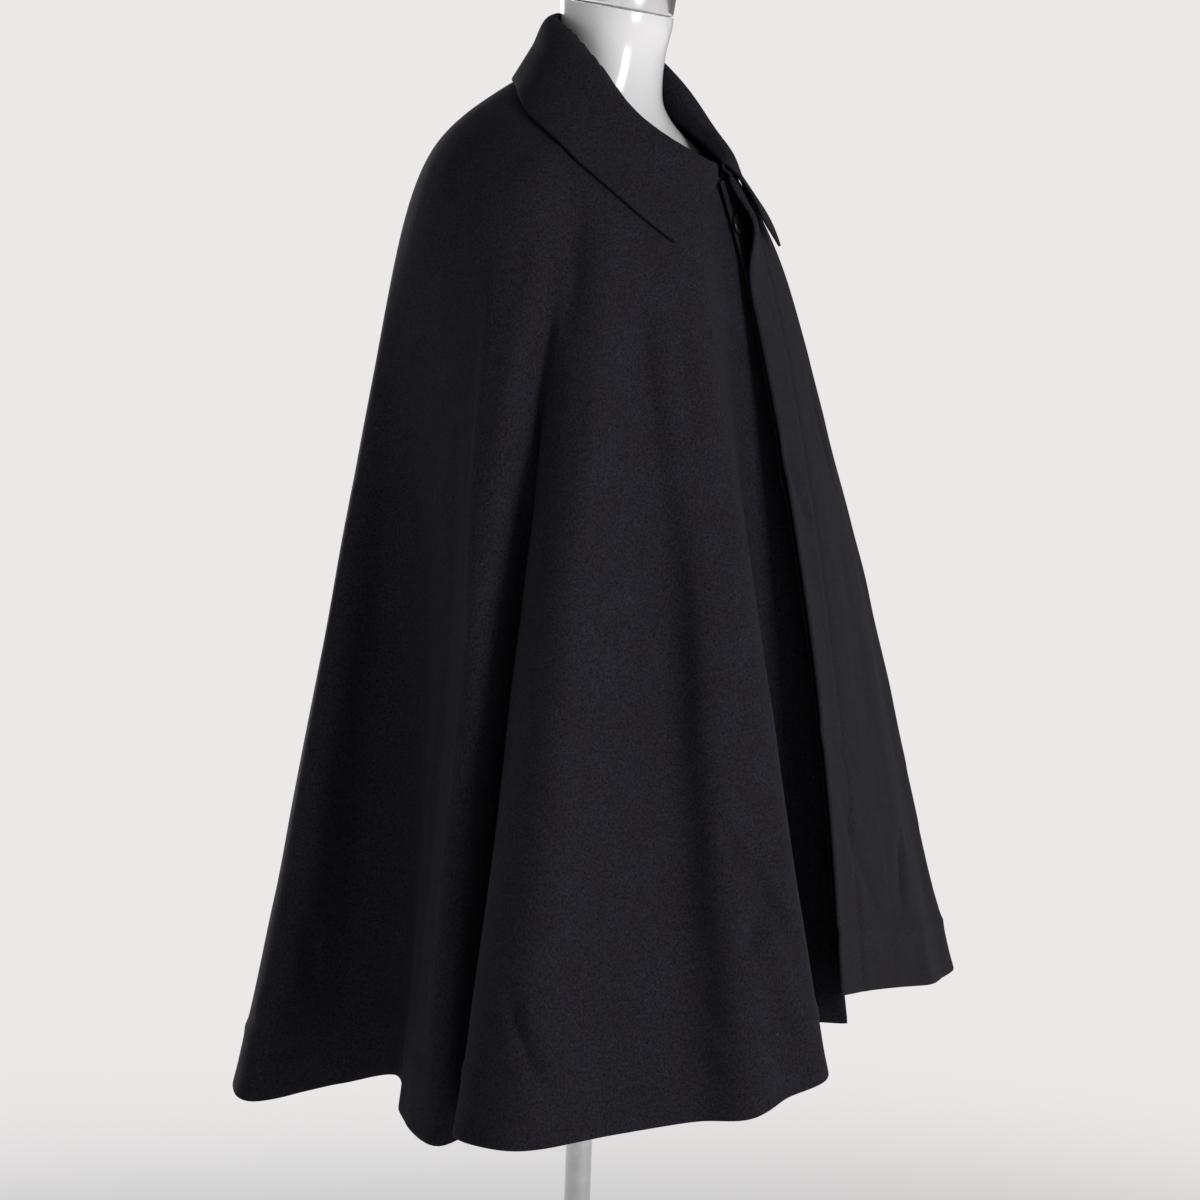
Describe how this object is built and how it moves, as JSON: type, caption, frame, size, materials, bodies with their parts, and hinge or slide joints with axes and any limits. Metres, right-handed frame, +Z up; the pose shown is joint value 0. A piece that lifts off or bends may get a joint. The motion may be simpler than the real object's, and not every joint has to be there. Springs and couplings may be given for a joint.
{
  "type": "wool cape coat on a limbless dress form",
  "caption": "Hip-length sleeveless wool cape coat with a pointed turn-down collar and concealed fly front, draped in deep folds on a limbless dress form with a pole stand.",
  "frame": {"origin": "on the floor, at the middle of the stand's underside, under the pole", "axes": "the coat faces -Y, the wearer's right is -X, +Z is up"},
  "size_m": [0.7762, 0.6572, 1.5192],
  "materials": {
    "wool": "matt black melton with a fine short nap",
    "button": "glossy black",
    "form_white": "smooth glossy white",
    "chrome": "polished"
  },
  "bodies": {
    "root": {"front_right": "wool", "front_left": "wool", "back": "wool", "fly_ply": "wool", "collar": "wool", "button_1": "button", "button_2": "button", "button_3": "button", "button_4": "button", "form_torso": "form_white", "neck_cap": "chrome", "stand_pole": "chrome", "stand_boss": "chrome", "stand_base": "chrome"}
  },
  "joints": []
}
